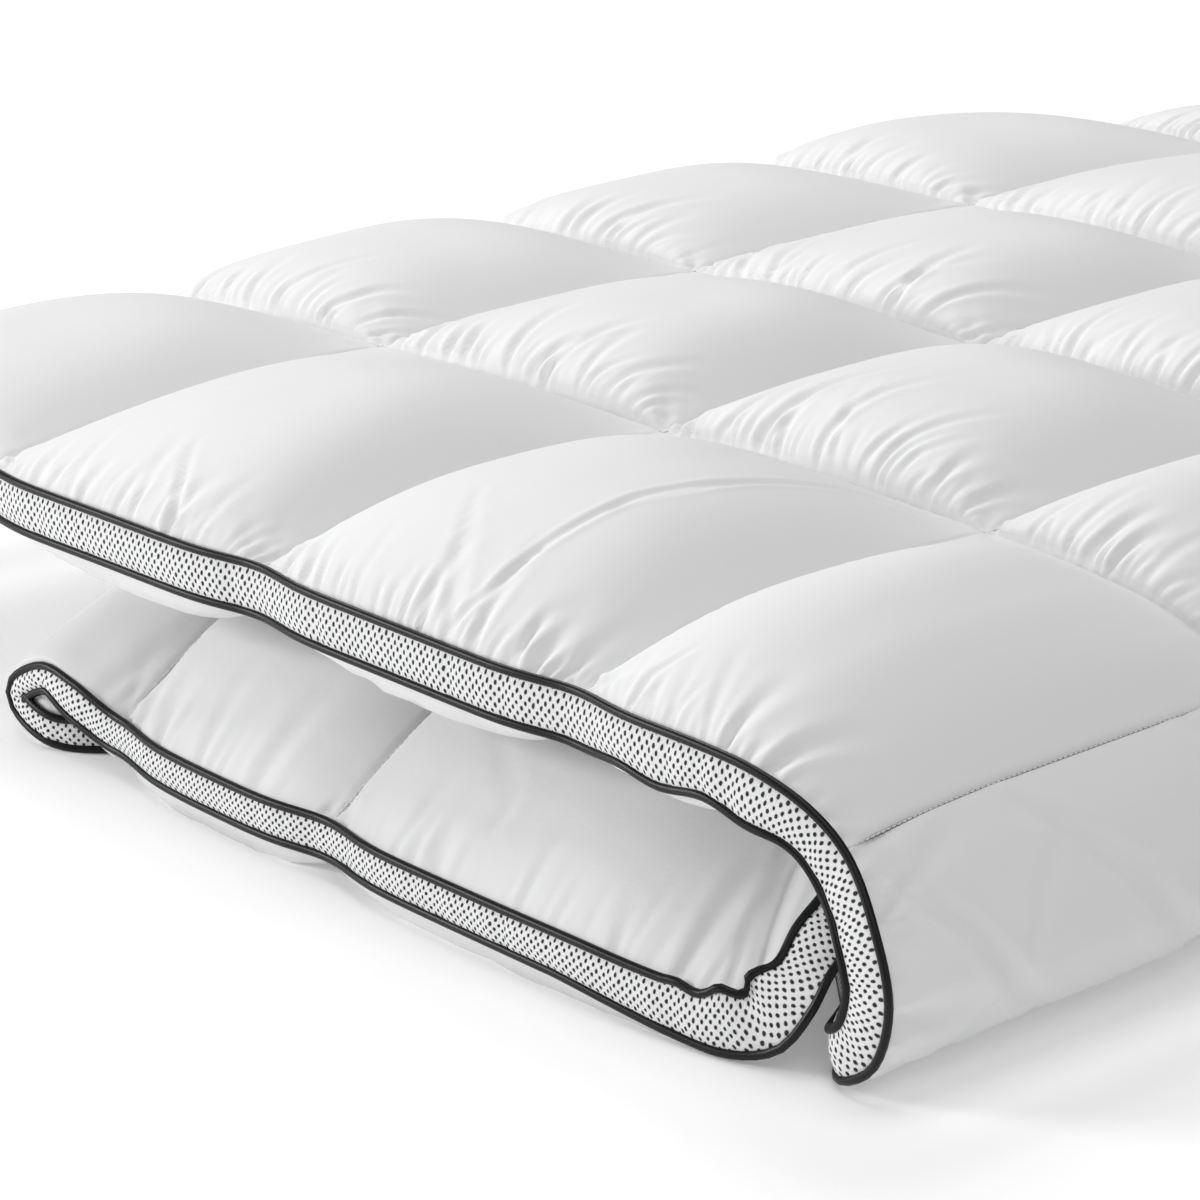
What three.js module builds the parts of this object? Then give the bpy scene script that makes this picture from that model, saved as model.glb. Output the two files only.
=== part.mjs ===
// A quilted, boxed-edge duvet, rolled flat into three layers, in millimetres with +Z up.
// The strip starts at its outer end on top of the roll, runs right to the fold, turns down and
// under, runs left along the floor, curls up and runs right again to its inner end.
// Four pieces are modelled: the filled quilt, the mesh band sewn round its edge, and the two
// pipings in the seams between them.

import * as THREE from "three";

// Driving dimensions of the duvet.
const BOX_WIDTH = 212; // quilted box across the duvet, along the roll
const BORDER_WIDTH = 245; // first and last box across the duvet
const INNER_ROWS = 5;
const DUVET_WIDTH = 2 * BORDER_WIDTH + INNER_ROWS * BOX_WIDTH;
const OUTER_CORNER = 40; // radius of the corners at the roll's outer end
const INNER_CORNER = 16; // the same at its inner end, which is tucked in
const CORNER_DEPTH = 120; // how far into the duvet a rounded corner is felt
const SEAM_HALF = 10; // half thickness of the quilt along a stitched channel
const PIPING_RADIUS = 1.8;
const MESH_THICKNESS = 2;
const MESH_BULGE = 2.6; // how far the band bows out between its pipings
const CLEARANCE = 0.4; // between pieces that touch
const RIM_DROP = 1.4; // how far the quilt's rims lie inside the middles of the pipings

// How a stitched channel draws the edge of the duvet in.
const SEAM_PULL = 6; // depth of the dip
const PULL_REACH = 26; // half width of the dip along the edge
const PULL_DEPTH = 100; // how far into the duvet the dip is felt
const RECESS_DEPTH = 260; // how far into the duvet a layer's recess is felt

// The outer end of the roll isn't laid quite square: towards the back it lies further in.
const SKEW = 120; // how much further
const SKEW_START = 740; // where along the roll it begins
const SKEW_REACH = 250; // and over what length it grows

// The shape of a box's crown: with t from 0 in the middle of the box to 1 at a side, it rises as
// (1 - t^flatness)^steepness. The filling lies unevenly, so each side has its own pair.
const OUTER_SIDE = { flatness: 1.8, steepness: 0.71 }; // towards the strip's outer end
const INNER_SIDE = { flatness: 3.6, steepness: 1.05 }; // towards its inner end
const PIPED_SIDE = { flatness: 2.6, steepness: 0.54 }; // beside the duvet's two side edges
const FRONT_SIDE = { flatness: 3.5, steepness: 0.47 }; // along a row seam, towards the front
const REAR_SIDE = { flatness: 2.3, steepness: 1.0 }; // the same, towards the back
const FULL_ROWS = 2; // rows that are filled out fully
const REAR_ROW_CROWN = 0.85; // crown of the rows behind them
const BELLY_REACH = 18; // how far behind the piping the back sags the most

// The mid-line of the rolled strip, seen from the front edge. X is 0 at the fold's foot and Z is
// 0 on the floor. A row is a station along the strip. edge is the line at the duvet's side edges
// and inner is the line in its middle. recess is how far the edge lies back from the front, zone
// is the width over which the edge line eases into the inner line, band is half the mesh band's
// height, face and back are the crowns of the boxes on either side, and belly is how far the back
// sags just behind its piping. seam marks a stitched channel, and steps is the number of mesh
// steps to the next station.
const COLUMNS = [
  "name", "seam", "steps", "edgeX", "edgeZ", "innerX", "innerZ", "recess", "zone", "band", "face", "back", "belly",
];
const STATIONS = [
  ["outer end", 0, 2, -752, 92, -752, 88, 0, 200, 11, 12, 12, 0],
  ["outer shoulder", 0, 4, -705, 107, -705, 114, 0, 200, 11, 25, 16, 6],
  ["channel A", 1, 4, -553, 112, -553, 125, 0, 200, 11, 23, 17, 9],
  ["channel B", 1, 4, -353, 112, -353, 125, 0, 120, 11, 33, 16, 9],
  ["channel C", 1, 3, -153, 109, -153, 124, 0, 120, 11, 28, 14, 9],
  ["fold start", 0, 1, -62, 108, -70, 117, 0, 120, 11, 19, 10, 4],
  ["fold shoulder", 0, 1, -33, 102, -38, 108, 0, 110, 11, 12, 8, 0],
  ["channel D", 1, 2, -12, 88, -14, 92, 0, 100, 11, 8, 8, 0],
  ["fold upper side", 0, 2, 6, 67, 8, 69, 0, 100, 11, 9, 8, 0],
  ["fold lower side", 0, 2, 15, 44, 17, 46, 0, 100, 11, 9, 8, 0],
  ["fold heel", 0, 1, 10, 23, 9, 27, 0, 100, 11, 8, 7, 0],
  ["fold foot", 0, 1, -6, 13, -10, 20, 4, 90, 10, 8, 7, 0],
  ["under start", 0, 2, -32, 12, -38, 21, 40, 80, 10, 10, 7, 0],
  ["channel E", 1, 3, -100, 13, -100, 22, 88, 60, 10, 22, 9, 0],
  ["channel F", 1, 3, -245, 13, -245, 22, 98, 60, 10, 22, 9, 0],
  ["channel G", 1, 2, -395, 13, -395, 22, 88, 60, 10, 20, 9, 0],
  ["under end", 0, 1, -464, 11, -476, 21, 30, 90, 8, 9, 5, 0],
  ["curl foot", 0, 2, -498, 9.6, -506, 26, 2, 120, 7, 6, 2, 0],
  ["curl side", 0, 2, -524, 20, -525, 46, 0, 120, 7, 6, 1, 0],
  ["curl top", 0, 1, -504, 33, -506, 65, 0, 120, 7, 6, 2, 0],
  ["curl end", 0, 1, -484, 28, -478, 70, -1, 130, 10, 9, 6, 2],
  ["channel H", 1, 4, -450, 17, -450, 70, -4, 130, 11, 14, 13, 8],
  ["channel I", 1, 4, -293, 16, -293, 70, -13, 130, 11, 14, 13, 8],
  ["middle of B", 0, 3, -140, 16, -150, 70, -17, 130, 11, 14, 13, 8],
  ["hook start", 0, 1, -57, 14, -96, 69, -12, 130, 12, 6, 10, 3],
  ["hook heel", 0, 1, -36, 20, -82, 68, -5, 120, 14, 2, 8, 0],
  ["hook side", 0, 1, -28, 33, -71, 70, 2, 115, 14, 0, 6, 0],
  ["hook top", 0, 1, -26, 46, -61, 74, 14, 115, 12.5, 0, 4, 0],
  ["inner end", 0, 0, -23, 59, -53, 82, 26, 105, 11, 0, 2, 0],
].map((row) => Object.fromEntries(COLUMNS.map((column, i) => [column, row[i]])));

// A station's place along the strip is the length of the edge line up to it.
STATIONS.forEach((station, i) => {
  const last = STATIONS[i - 1];
  station.at = i === 0 ? 0 : last.at + Math.hypot(station.edgeX - last.edgeX, station.edgeZ - last.edgeZ);
});
const STRIP_LENGTH = STATIONS[STATIONS.length - 1].at;
const LENGTH_SEAMS = STATIONS.filter((station) => station.seam).map((station) => station.at);
const LENGTH_BOXES = [0, ...LENGTH_SEAMS, STRIP_LENGTH];
const CHANNEL_B = LENGTH_SEAMS[1];
const WIDTH_BOXES = [0];
for (let row = 0; row <= INNER_ROWS; row++) WIDTH_BOXES.push(BORDER_WIDTH + row * BOX_WIDTH);
WIDTH_BOXES.push(DUVET_WIDTH);
const WIDTH_SEAMS = WIDTH_BOXES.slice(1, -1);

const clamp01 = (x) => Math.min(1, Math.max(0, x));
const ease = (x) => clamp01(x) ** 2 * (3 - 2 * clamp01(x));
const mix = (a, b, t) => a + (b - a) * t;

// One column of the table at a place along the strip, as a smooth curve through the stations.
function column(name, at) {
  let i = 0;
  while (i < STATIONS.length - 2 && STATIONS[i + 1].at < at) i++;
  const slope = (k) => {
    const a = STATIONS[Math.max(0, k - 1)];
    const b = STATIONS[Math.min(STATIONS.length - 1, k + 1)];
    return (b[name] - a[name]) / (b.at - a.at);
  };
  const [a, b] = [STATIONS[i], STATIONS[i + 1]];
  const span = b.at - a.at;
  const t = (at - a.at) / span;
  return (
    a[name] * (2 * t ** 3 - 3 * t ** 2 + 1) +
    slope(i) * span * (t ** 3 - 2 * t ** 2 + t) +
    b[name] * (3 * t ** 2 - 2 * t ** 3) +
    slope(i + 1) * span * (t ** 3 - t ** 2)
  );
}

// How much the nearest channel draws the edge in, from 1 at the channel to 0 away from it.
const seamPull = (seams, at) => Math.max(...seams.map((seam) => Math.exp(-(((at - seam) / PULL_REACH) ** 2))));

// The mid-surface: length along the strip and width across the duvet to a point in space.
function middle(length, width) {
  const toEdge = Math.min(width, DUVET_WIDTH - width);
  const toEnd = Math.min(length, STRIP_LENGTH - length);
  const inward = Math.sin((clamp01(toEdge / column("zone", length)) * Math.PI) / 2);
  const endPull = SEAM_PULL * seamPull(WIDTH_SEAMS, width) * (1 - ease(toEnd / PULL_DEPTH));
  const at = length + (length < STRIP_LENGTH / 2 ? endPull : -endPull);
  const edgePull = SEAM_PULL * seamPull(LENGTH_SEAMS, at) * (1 - ease(toEdge / PULL_DEPTH));
  const recess = (column("recess", at) + edgePull) * (1 - ease(toEdge / RECESS_DEPTH));
  const skew = SKEW * ease((width - SKEW_START) / SKEW_REACH) * (1 - ease(length / CHANNEL_B));
  return new THREE.Vector3(
    mix(column("edgeX", at), column("innerX", at), inward) + skew,
    width < DUVET_WIDTH / 2 ? width + recess : width - recess,
    mix(column("edgeZ", at), column("innerZ", at), inward),
  );
}

// The direction out of the face side of the duvet, square to the roll's axis.
function faceNormal(length, width) {
  const reach = 2;
  const along = middle(Math.min(STRIP_LENGTH, length + reach), width);
  along.sub(middle(Math.max(0, length - reach), width)).setY(0);
  return along.cross(new THREE.Vector3(0, 1, 0)).normalize();
}

// The crown of a box at a place along the duvet, and at a place along and across it.
const boxOf = (edges, at) => Math.min(edges.length - 2, Math.max(0, edges.findLastIndex((edge) => edge <= at)));
function rise(edges, at, lowSide, highSide) {
  const box = boxOf(edges, at);
  const off = (2 * (at - edges[box])) / (edges[box + 1] - edges[box]) - 1;
  const { flatness, steepness } = off < 0 ? lowSide : highSide;
  return (1 - clamp01(Math.abs(off)) ** flatness) ** steepness;
}
const crownAlong = (length) => rise(LENGTH_BOXES, length, OUTER_SIDE, INNER_SIDE);
function crown(length, width) {
  const row = boxOf(WIDTH_BOXES, width);
  const front = row === 0 ? PIPED_SIDE : FRONT_SIDE;
  const rear = row === INNER_ROWS + 1 ? PIPED_SIDE : REAR_SIDE;
  return (row < FULL_ROWS ? 1 : REAR_ROW_CROWN) * crownAlong(length) * rise(WIDTH_BOXES, width, front, rear);
}

// A point on the face side (side 1) or the back side (side -1) of the quilt, kept off the floor.
function surface(length, width, grid, side) {
  const behind = Math.min(width, DUVET_WIDTH - width) / BELLY_REACH;
  const belly = side > 0 ? 0 : column("belly", length) * behind * Math.exp(1 - behind) * crownAlong(length);
  const swell = column(side > 0 ? "face" : "back", length) * crown(length, grid) + belly;
  const point = middle(length, width).addScaledVector(faceNormal(length, width), side * (SEAM_HALF + swell));
  point.z = Math.max(0, point.z);
  return point;
}

// Mesh lines along the strip: the table's steps, with closer lines at the rounded corners and
// beside the channels.
const NEAR_SEAM = 0.11;
const shareOf = (step, steps) => {
  if (step === 0 || steps < 4) return step / steps;
  return mix(NEAR_SEAM, 1 - NEAR_SEAM, (step - 1) / (steps - 2));
};
const cornerSteps = (radius, steps) =>
  Array.from({ length: steps + 1 }, (_, step) => radius * (1 - Math.cos(((step / steps) * Math.PI) / 2)));
const midLines = STATIONS.slice(0, -1).flatMap((station, i) =>
  Array.from({ length: station.steps }, (_, step) =>
    mix(station.at, STATIONS[i + 1].at, shareOf(step, station.steps)),
  ),
);
const LENGTH_LINES = [
  ...cornerSteps(OUTER_CORNER, 3),
  ...midLines.filter((at) => at > OUTER_CORNER + 5 && at < STRIP_LENGTH - INNER_CORNER - 3),
  ...cornerSteps(INNER_CORNER, 2).map((at) => STRIP_LENGTH - at).reverse(),
];

// Mesh lines across the duvet: each box in steps, with close lines beside the two edges.
const BORDER_LINES = [0, 9, 28, 54, 88, 150, 222];
const ROW_STEPS = 4;
const WIDTH_LINES = [...BORDER_LINES];
for (let row = 1; row <= INNER_ROWS; row++) {
  for (let step = 0; step < ROW_STEPS; step++) {
    WIDTH_LINES.push(WIDTH_BOXES[row] + shareOf(step, ROW_STEPS) * BOX_WIDTH);
  }
}
WIDTH_LINES.push(WIDTH_BOXES[INNER_ROWS + 1], ...BORDER_LINES.map((at) => DUVET_WIDTH - at).reverse());

// The rounded corners draw the outermost lines in towards each end of the strip.
function cornerInset(length) {
  const radius = length < STRIP_LENGTH / 2 ? OUTER_CORNER : INNER_CORNER;
  const toEnd = Math.min(length, STRIP_LENGTH - length, radius);
  return radius - Math.sqrt(radius ** 2 - (radius - toEnd) ** 2);
}
function insetWidth(length, width) {
  const toEdge = Math.min(width, DUVET_WIDTH - width);
  const inset = cornerInset(length) * clamp01(1 - toEdge / CORNER_DEPTH);
  return width < DUVET_WIDTH / 2 ? width + inset : width - inset;
}

// The perimeter as [line along, line across], once round, anticlockwise seen from the face side.
const LAST_I = LENGTH_LINES.length - 1;
const LAST_J = WIDTH_LINES.length - 1;
const PERIMETER = [];
for (let i = 0; i < LAST_I; i++) PERIMETER.push([i, 0]);
for (let j = 0; j < LAST_J; j++) PERIMETER.push([LAST_I, j]);
for (let i = LAST_I; i > 0; i--) PERIMETER.push([i, LAST_J]);
for (let j = LAST_J; j > 0; j--) PERIMETER.push([0, j]);

// A frame at each point of the perimeter: its place, the way out of the edge, the face side's way.
const EDGE_FRAMES = PERIMETER.map(([i, j], k) => {
  const place = ([a, b]) => middle(LENGTH_LINES[a], insetWidth(LENGTH_LINES[a], WIDTH_LINES[b]));
  const before = place(PERIMETER[(k + PERIMETER.length - 1) % PERIMETER.length]);
  const after = place(PERIMETER[(k + 1) % PERIMETER.length]);
  const up = faceNormal(LENGTH_LINES[i], insetWidth(LENGTH_LINES[i], WIDTH_LINES[j]));
  const out = after.sub(before).normalize().cross(up).normalize();
  const band = column("band", LENGTH_LINES[i]);
  return { place: place([i, j]), out, up, band };
});

// A point of a section on an edge frame, out from the edge line and up towards the face side.
const onEdge = (frame, out, up) =>
  frame.place.clone().addScaledVector(frame.out, out).addScaledVector(frame.up, up);

// Half the height of the mesh itself, between its two pipings.
const bandTop = (frame) => frame.band - PIPING_RADIUS - CLEARANCE;

function meshOf(name, points, triangles, colour, roughness) {
  const geometry = new THREE.BufferGeometry();
  geometry.setAttribute("position", new THREE.Float32BufferAttribute(points.flatMap((p) => [p.x, p.y, p.z]), 3));
  geometry.setIndex(triangles.flat());
  geometry.computeVertexNormals();
  const mesh = new THREE.Mesh(geometry, new THREE.MeshStandardMaterial({ color: colour, roughness, metalness: 0 }));
  mesh.name = name;
  return mesh;
}

// The filled quilt: two grids of points, joined round the edge by a wall that the band covers.
function quiltedBody() {
  const points = [];
  const waistOut = MESH_BULGE - MESH_THICKNESS - CLEARANCE;
  const rimOut = (frame) => waistOut - (MESH_BULGE * frame.band) / bandTop(frame);
  const rimUp = (frame) => frame.band - RIM_DROP;
  const edgeIndex = new Map(PERIMETER.map(([i, j], k) => [`${i},${j}`, k]));
  const grid = (side) =>
    LENGTH_LINES.map((length, i) =>
      WIDTH_LINES.map((width, j) => {
        const k = edgeIndex.get(`${i},${j}`);
        const frame = EDGE_FRAMES[k];
        const point = frame
          ? onEdge(frame, rimOut(frame), side * rimUp(frame))
          : surface(length, insetWidth(length, width), width, side);
        return points.push(point) - 1;
      }),
    );
  const [face, back] = [grid(1), grid(-1)];
  const waist = EDGE_FRAMES.map((frame) => points.push(onEdge(frame, waistOut, 0)) - 1);
  const triangles = [];
  for (let i = 0; i < LAST_I; i++) {
    for (let j = 0; j < LAST_J; j++) {
      const corners = (lines) => [lines[i][j], lines[i + 1][j], lines[i + 1][j + 1], lines[i][j + 1]];
      const [a, b, c, d] = corners(face);
      triangles.push([a, b, c], [a, c, d]);
      const [e, f, g, h] = corners(back);
      triangles.push([e, g, f], [e, h, g]);
    }
  }
  PERIMETER.forEach(([i, j], k) => {
    const next = (k + 1) % PERIMETER.length;
    const [m, n] = PERIMETER[next];
    triangles.push([face[i][j], waist[k], waist[next]], [face[i][j], waist[next], face[m][n]]);
    triangles.push([waist[k], back[i][j], back[m][n]], [waist[k], back[m][n], waist[next]]);
  });
  return meshOf("quilted_body", points, triangles, 0xf4f4f5, 0.85);
}

// A closed ring swept round the perimeter. section gives its points on one edge frame, clockwise.
function edgeRing(name, section, colour, roughness) {
  const rings = EDGE_FRAMES.map((frame) => section(frame));
  const size = rings[0].length;
  const triangles = [];
  rings.forEach((ring, k) => {
    const [here, there] = [k * size, ((k + 1) % rings.length) * size];
    for (let m = 0; m < size; m++) {
      const n = (m + 1) % size;
      triangles.push([here + m, there + m, there + n], [here + m, there + n, here + n]);
    }
  });
  return meshOf(name, rings.flat(), triangles, colour, roughness);
}

// The mesh band: a bowed strip between the two pipings.
function meshBand() {
  return edgeRing(
    "mesh_band",
    (frame) => {
      const top = bandTop(frame);
      return [
        onEdge(frame, 0, top),
        onEdge(frame, -MESH_THICKNESS, top),
        onEdge(frame, MESH_BULGE - MESH_THICKNESS, 0),
        onEdge(frame, -MESH_THICKNESS, -top),
        onEdge(frame, 0, -top),
        onEdge(frame, MESH_BULGE, 0),
      ];
    },
    0xe6e6e8,
    0.9,
  );
}

// A piping: a cord of six sides in the seam between the band and one side of the quilt.
function piping(name, side) {
  const sides = 6;
  return edgeRing(
    name,
    (frame) =>
      Array.from({ length: sides }, (_, m) => {
        const angle = (2 * Math.PI * (m + 0.5)) / sides;
        const [out, up] = [PIPING_RADIUS * Math.cos(angle), PIPING_RADIUS * Math.sin(angle)];
        return onEdge(frame, out, side * frame.band + up);
      }),
    0x1c1c1e,
    0.45,
  );
}

const duvet = new THREE.Group();
duvet.add(quiltedBody(), meshBand(), piping("piping_face", 1), piping("piping_back", -1));

// The origin is the middle of the footprint, on the floor.
duvet.updateMatrixWorld(true);
const bounds = new THREE.Box3().setFromObject(duvet, true);
duvet.position.set(
  -(bounds.min.x + bounds.max.x) / 2,
  -(bounds.min.y + bounds.max.y) / 2,
  -bounds.min.z,
);

export default duvet;
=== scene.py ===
import math

import bpy
import numpy as np
from mathutils import Matrix, Vector


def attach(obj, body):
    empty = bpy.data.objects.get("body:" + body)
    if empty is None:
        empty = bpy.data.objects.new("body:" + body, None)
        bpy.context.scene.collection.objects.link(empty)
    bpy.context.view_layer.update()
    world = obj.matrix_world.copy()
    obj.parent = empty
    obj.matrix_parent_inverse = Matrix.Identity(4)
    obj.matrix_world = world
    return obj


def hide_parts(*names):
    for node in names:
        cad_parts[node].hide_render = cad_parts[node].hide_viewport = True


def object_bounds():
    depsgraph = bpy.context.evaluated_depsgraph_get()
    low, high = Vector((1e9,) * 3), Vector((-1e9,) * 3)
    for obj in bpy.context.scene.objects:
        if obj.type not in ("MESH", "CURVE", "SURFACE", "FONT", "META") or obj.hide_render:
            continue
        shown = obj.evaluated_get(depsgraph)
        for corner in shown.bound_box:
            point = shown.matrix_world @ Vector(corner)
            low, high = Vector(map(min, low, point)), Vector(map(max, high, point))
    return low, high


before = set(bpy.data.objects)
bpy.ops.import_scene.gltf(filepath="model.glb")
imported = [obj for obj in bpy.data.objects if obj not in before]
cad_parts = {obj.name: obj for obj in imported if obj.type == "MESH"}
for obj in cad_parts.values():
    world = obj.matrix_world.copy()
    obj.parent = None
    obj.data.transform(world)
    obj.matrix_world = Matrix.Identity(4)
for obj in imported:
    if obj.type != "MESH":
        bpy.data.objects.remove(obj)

CAD_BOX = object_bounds()
MM = 0.001

# The quilt is drawn in millimetres, with X 0 at the fold and Y 0 at the front edge. LEAST_X and
# LEAST_Y are the solids' least X and Y in that drawing, and ORIGIN is its zero in the row frame.
LEAST_X = -759.2
LEAST_Y = -19.6
ORIGIN = np.array([CAD_BOX[0][0] / MM - LEAST_X, CAD_BOX[0][1] / MM - LEAST_Y, 0.0])

# Driving dimensions, the same as the solids'.
BOX_WIDTH = 212.0
BORDER_WIDTH = 245.0
INNER_ROWS = 5
DUVET_WIDTH = 2 * BORDER_WIDTH + INNER_ROWS * BOX_WIDTH
OUTER_CORNER = 40.0
INNER_CORNER = 16.0
CORNER_DEPTH = 120.0
SEAM_HALF = 10.0
MESH_BULGE = 2.6
SEAM_PULL = 6.0
PULL_REACH = 26.0
PULL_DEPTH = 100.0
RECESS_DEPTH = 260.0
SKEW = 120.0
SKEW_START = 740.0
SKEW_REACH = 250.0

# A box's crown rises from each of its sides as (1 - t^flatness)^steepness.
OUTER_SIDE = (1.8, 0.71)
INNER_SIDE = (3.6, 1.05)
PIPED_SIDE = (2.6, 0.54)
FRONT_SIDE = (3.5, 0.47)
REAR_SIDE = (2.3, 1.0)
FULL_ROWS = 2
REAR_ROW_CROWN = 0.85

# The back's cloth hangs in a belly just inside the edge.
BELLY_REACH = 18.0
INNER_BELLY_REACH = 9.0
BELLY_SCALE = 1.35

# The groove that the stitching presses into the face.
GROOVE_DEPTH = 1.2
GROOVE_HALF = 1.4

# Stations along the wound strip, from the outer layer's end to the inner layer's. A seam of 1 is a
# sewn channel. The edge and inner columns are the mid-surface at the side edges and past the zone
# beside them, recess draws the edge in, band is half the band's height, and face, back and belly
# are the heights of the boxes and of the belly.
COLUMNS = (
    "seam", "edgeX", "edgeZ", "innerX", "innerZ", "recess", "zone", "band", "face", "back", "belly"
)
STATIONS = {
    "outer end": (0, -752, 92, -752, 88, 0, 200, 11, 12, 12, 0),
    "outer shoulder": (0, -705, 107, -705, 114, 0, 200, 11, 25, 16, 6),
    "channel A": (1, -553, 112, -553, 125, 0, 200, 11, 23, 17, 9),
    "channel B": (1, -353, 112, -353, 125, 0, 120, 11, 33, 16, 9),
    "channel C": (1, -153, 109, -153, 124, 0, 120, 11, 28, 14, 9),
    "fold start": (0, -62, 108, -70, 117, 0, 120, 11, 19, 10, 4),
    "fold shoulder": (0, -33, 102, -38, 108, 0, 110, 11, 12, 8, 0),
    "channel D": (1, -12, 88, -14, 92, 0, 100, 11, 8, 8, 0),
    "fold upper side": (0, 6, 67, 8, 69, 0, 100, 11, 9, 8, 0),
    "fold lower side": (0, 15, 44, 17, 46, 0, 100, 11, 9, 8, 0),
    "fold heel": (0, 10, 23, 9, 27, 0, 100, 11, 8, 7, 0),
    "fold foot": (0, -6, 13, -10, 20, 4, 90, 10, 8, 7, 0),
    "under start": (0, -32, 12, -38, 21, 40, 80, 10, 10, 7, 0),
    "channel E": (1, -100, 13, -100, 22, 88, 60, 10, 22, 9, 0),
    "channel F": (1, -245, 13, -245, 22, 98, 60, 10, 22, 9, 0),
    "channel G": (1, -395, 13, -395, 22, 88, 60, 10, 20, 9, 0),
    "under end": (0, -464, 11, -476, 21, 30, 90, 8, 9, 5, 0),
    "curl foot": (0, -498, 9.6, -506, 26, 2, 120, 7, 6, 2, 0),
    "curl side": (0, -524, 20, -525, 46, 0, 120, 7, 6, 1, 0),
    "curl top": (0, -504, 33, -506, 65, 0, 120, 7, 6, 2, 0),
    "curl end": (0, -484, 28, -478, 70, -1, 130, 10, 9, 6, 2),
    "channel H": (1, -450, 17, -450, 70, -4, 130, 11, 14, 13, 8),
    "channel I": (1, -293, 16, -293, 70, -13, 130, 11, 14, 13, 8),
    "middle of B": (0, -140, 16, -150, 70, -17, 130, 11, 14, 13, 8),
    "hook start": (0, -57, 14, -96, 69, -12, 130, 12, 6, 10, 3),
    "hook heel": (0, -36, 20, -82, 68, -5, 120, 14, 2, 8, 0),
    "hook side": (0, -28, 33, -71, 70, 2, 115, 14, 0, 6, 0),
    "hook top": (0, -26, 46, -61, 74, 14, 115, 12.5, 0, 4, 0),
    "inner end": (0, -23, 59, -53, 82, 26, 105, 11, 0, 2, 0),
}
NAMES = list(STATIONS)
TABLE = {c: np.array([row[i] for row in STATIONS.values()], float) for i, c in enumerate(COLUMNS)}
STEP = np.hypot(np.diff(TABLE["edgeX"]), np.diff(TABLE["edgeZ"]))
PLACE = np.concatenate([[0.0], np.cumsum(STEP)])
AT = dict(zip(NAMES, PLACE))
STRIP = PLACE[-1]
LENGTH_SEAMS = PLACE[TABLE["seam"] > 0]
LENGTH_BOXES = np.concatenate([[0.0], LENGTH_SEAMS, [STRIP]])
WIDTH_SEAMS = BORDER_WIDTH + BOX_WIDTH * np.arange(INNER_ROWS + 1)
WIDTH_BOXES = np.concatenate([[0.0], WIDTH_SEAMS, [DUVET_WIDTH]])


def ease(x):
    """A smooth step from 0 to 1."""
    x = np.clip(x, 0, 1)
    return x * x * (3 - 2 * x)


def column(name, at):
    """A column of the table at places along the strip, as a smooth curve through the stations."""
    values = TABLE[name]
    index = np.arange(len(PLACE))
    before, after = np.maximum(0, index - 1), np.minimum(len(PLACE) - 1, index + 1)
    slope = (values[after] - values[before]) / (PLACE[after] - PLACE[before])
    i = np.clip(np.searchsorted(PLACE, at, side="right") - 1, 0, len(PLACE) - 2)
    span = PLACE[i + 1] - PLACE[i]
    t = (at - PLACE[i]) / span
    start = values[i] * (2 * t**3 - 3 * t**2 + 1) + slope[i] * span * (t**3 - 2 * t**2 + t)
    return start + values[i + 1] * (3 * t**2 - 2 * t**3) + slope[i + 1] * span * (t**3 - t**2)


def seam_pull(seams, at):
    """How near a place is to one of the seams, from 0 to 1."""
    return np.max([np.exp(-(((at - seam) / PULL_REACH) ** 2)) for seam in seams], axis=0)


def middle(length, width):
    """The mid-surface of the quilt: length along the strip and width across it to a point."""
    to_edge = np.minimum(width, DUVET_WIDTH - width)
    to_end = np.minimum(length, STRIP - length)
    inward = np.sin(np.clip(to_edge / column("zone", length), 0, 1) * math.pi / 2)
    end_pull = SEAM_PULL * seam_pull(WIDTH_SEAMS, width) * (1 - ease(to_end / PULL_DEPTH))
    at = length + np.where(length < STRIP / 2, end_pull, -end_pull)
    edge_pull = SEAM_PULL * seam_pull(LENGTH_SEAMS, at) * (1 - ease(to_edge / PULL_DEPTH))
    recess = (column("recess", at) + edge_pull) * (1 - ease(to_edge / RECESS_DEPTH))
    skew = SKEW * ease((width - SKEW_START) / SKEW_REACH) * (1 - ease(length / AT["channel B"]))
    x = column("edgeX", at) * (1 - inward) + column("innerX", at) * inward + skew
    y = np.where(width < DUVET_WIDTH / 2, width + recess, width - recess)
    z = column("edgeZ", at) * (1 - inward) + column("innerZ", at) * inward
    return np.stack([x, y, z], -1)


def face_normal(length, width):
    """The mid-surface's unit normal, toward the face, taken without the tilt across the quilt."""
    ahead = middle(np.minimum(STRIP, length + 2.0), width)
    along = ahead - middle(np.maximum(0, length - 2.0), width)
    along[..., 1] = 0
    normal = np.cross(along, np.broadcast_to([0.0, 1.0, 0.0], along.shape))
    return normal / np.linalg.norm(normal, axis=-1, keepdims=True)


def rise(edges, at, low_side, high_side):
    """How far a box has risen at a place between its low side and its high side."""
    i = np.clip(np.searchsorted(edges, at, side="right") - 1, 0, len(edges) - 2)
    off = np.clip(2 * (at - edges[i]) / (edges[i + 1] - edges[i]) - 1, -1, 1)
    low = (1 - np.abs(off) ** low_side[0]) ** low_side[1]
    high = (1 - np.abs(off) ** high_side[0]) ** high_side[1]
    return np.where(off < 0, low, high)


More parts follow.
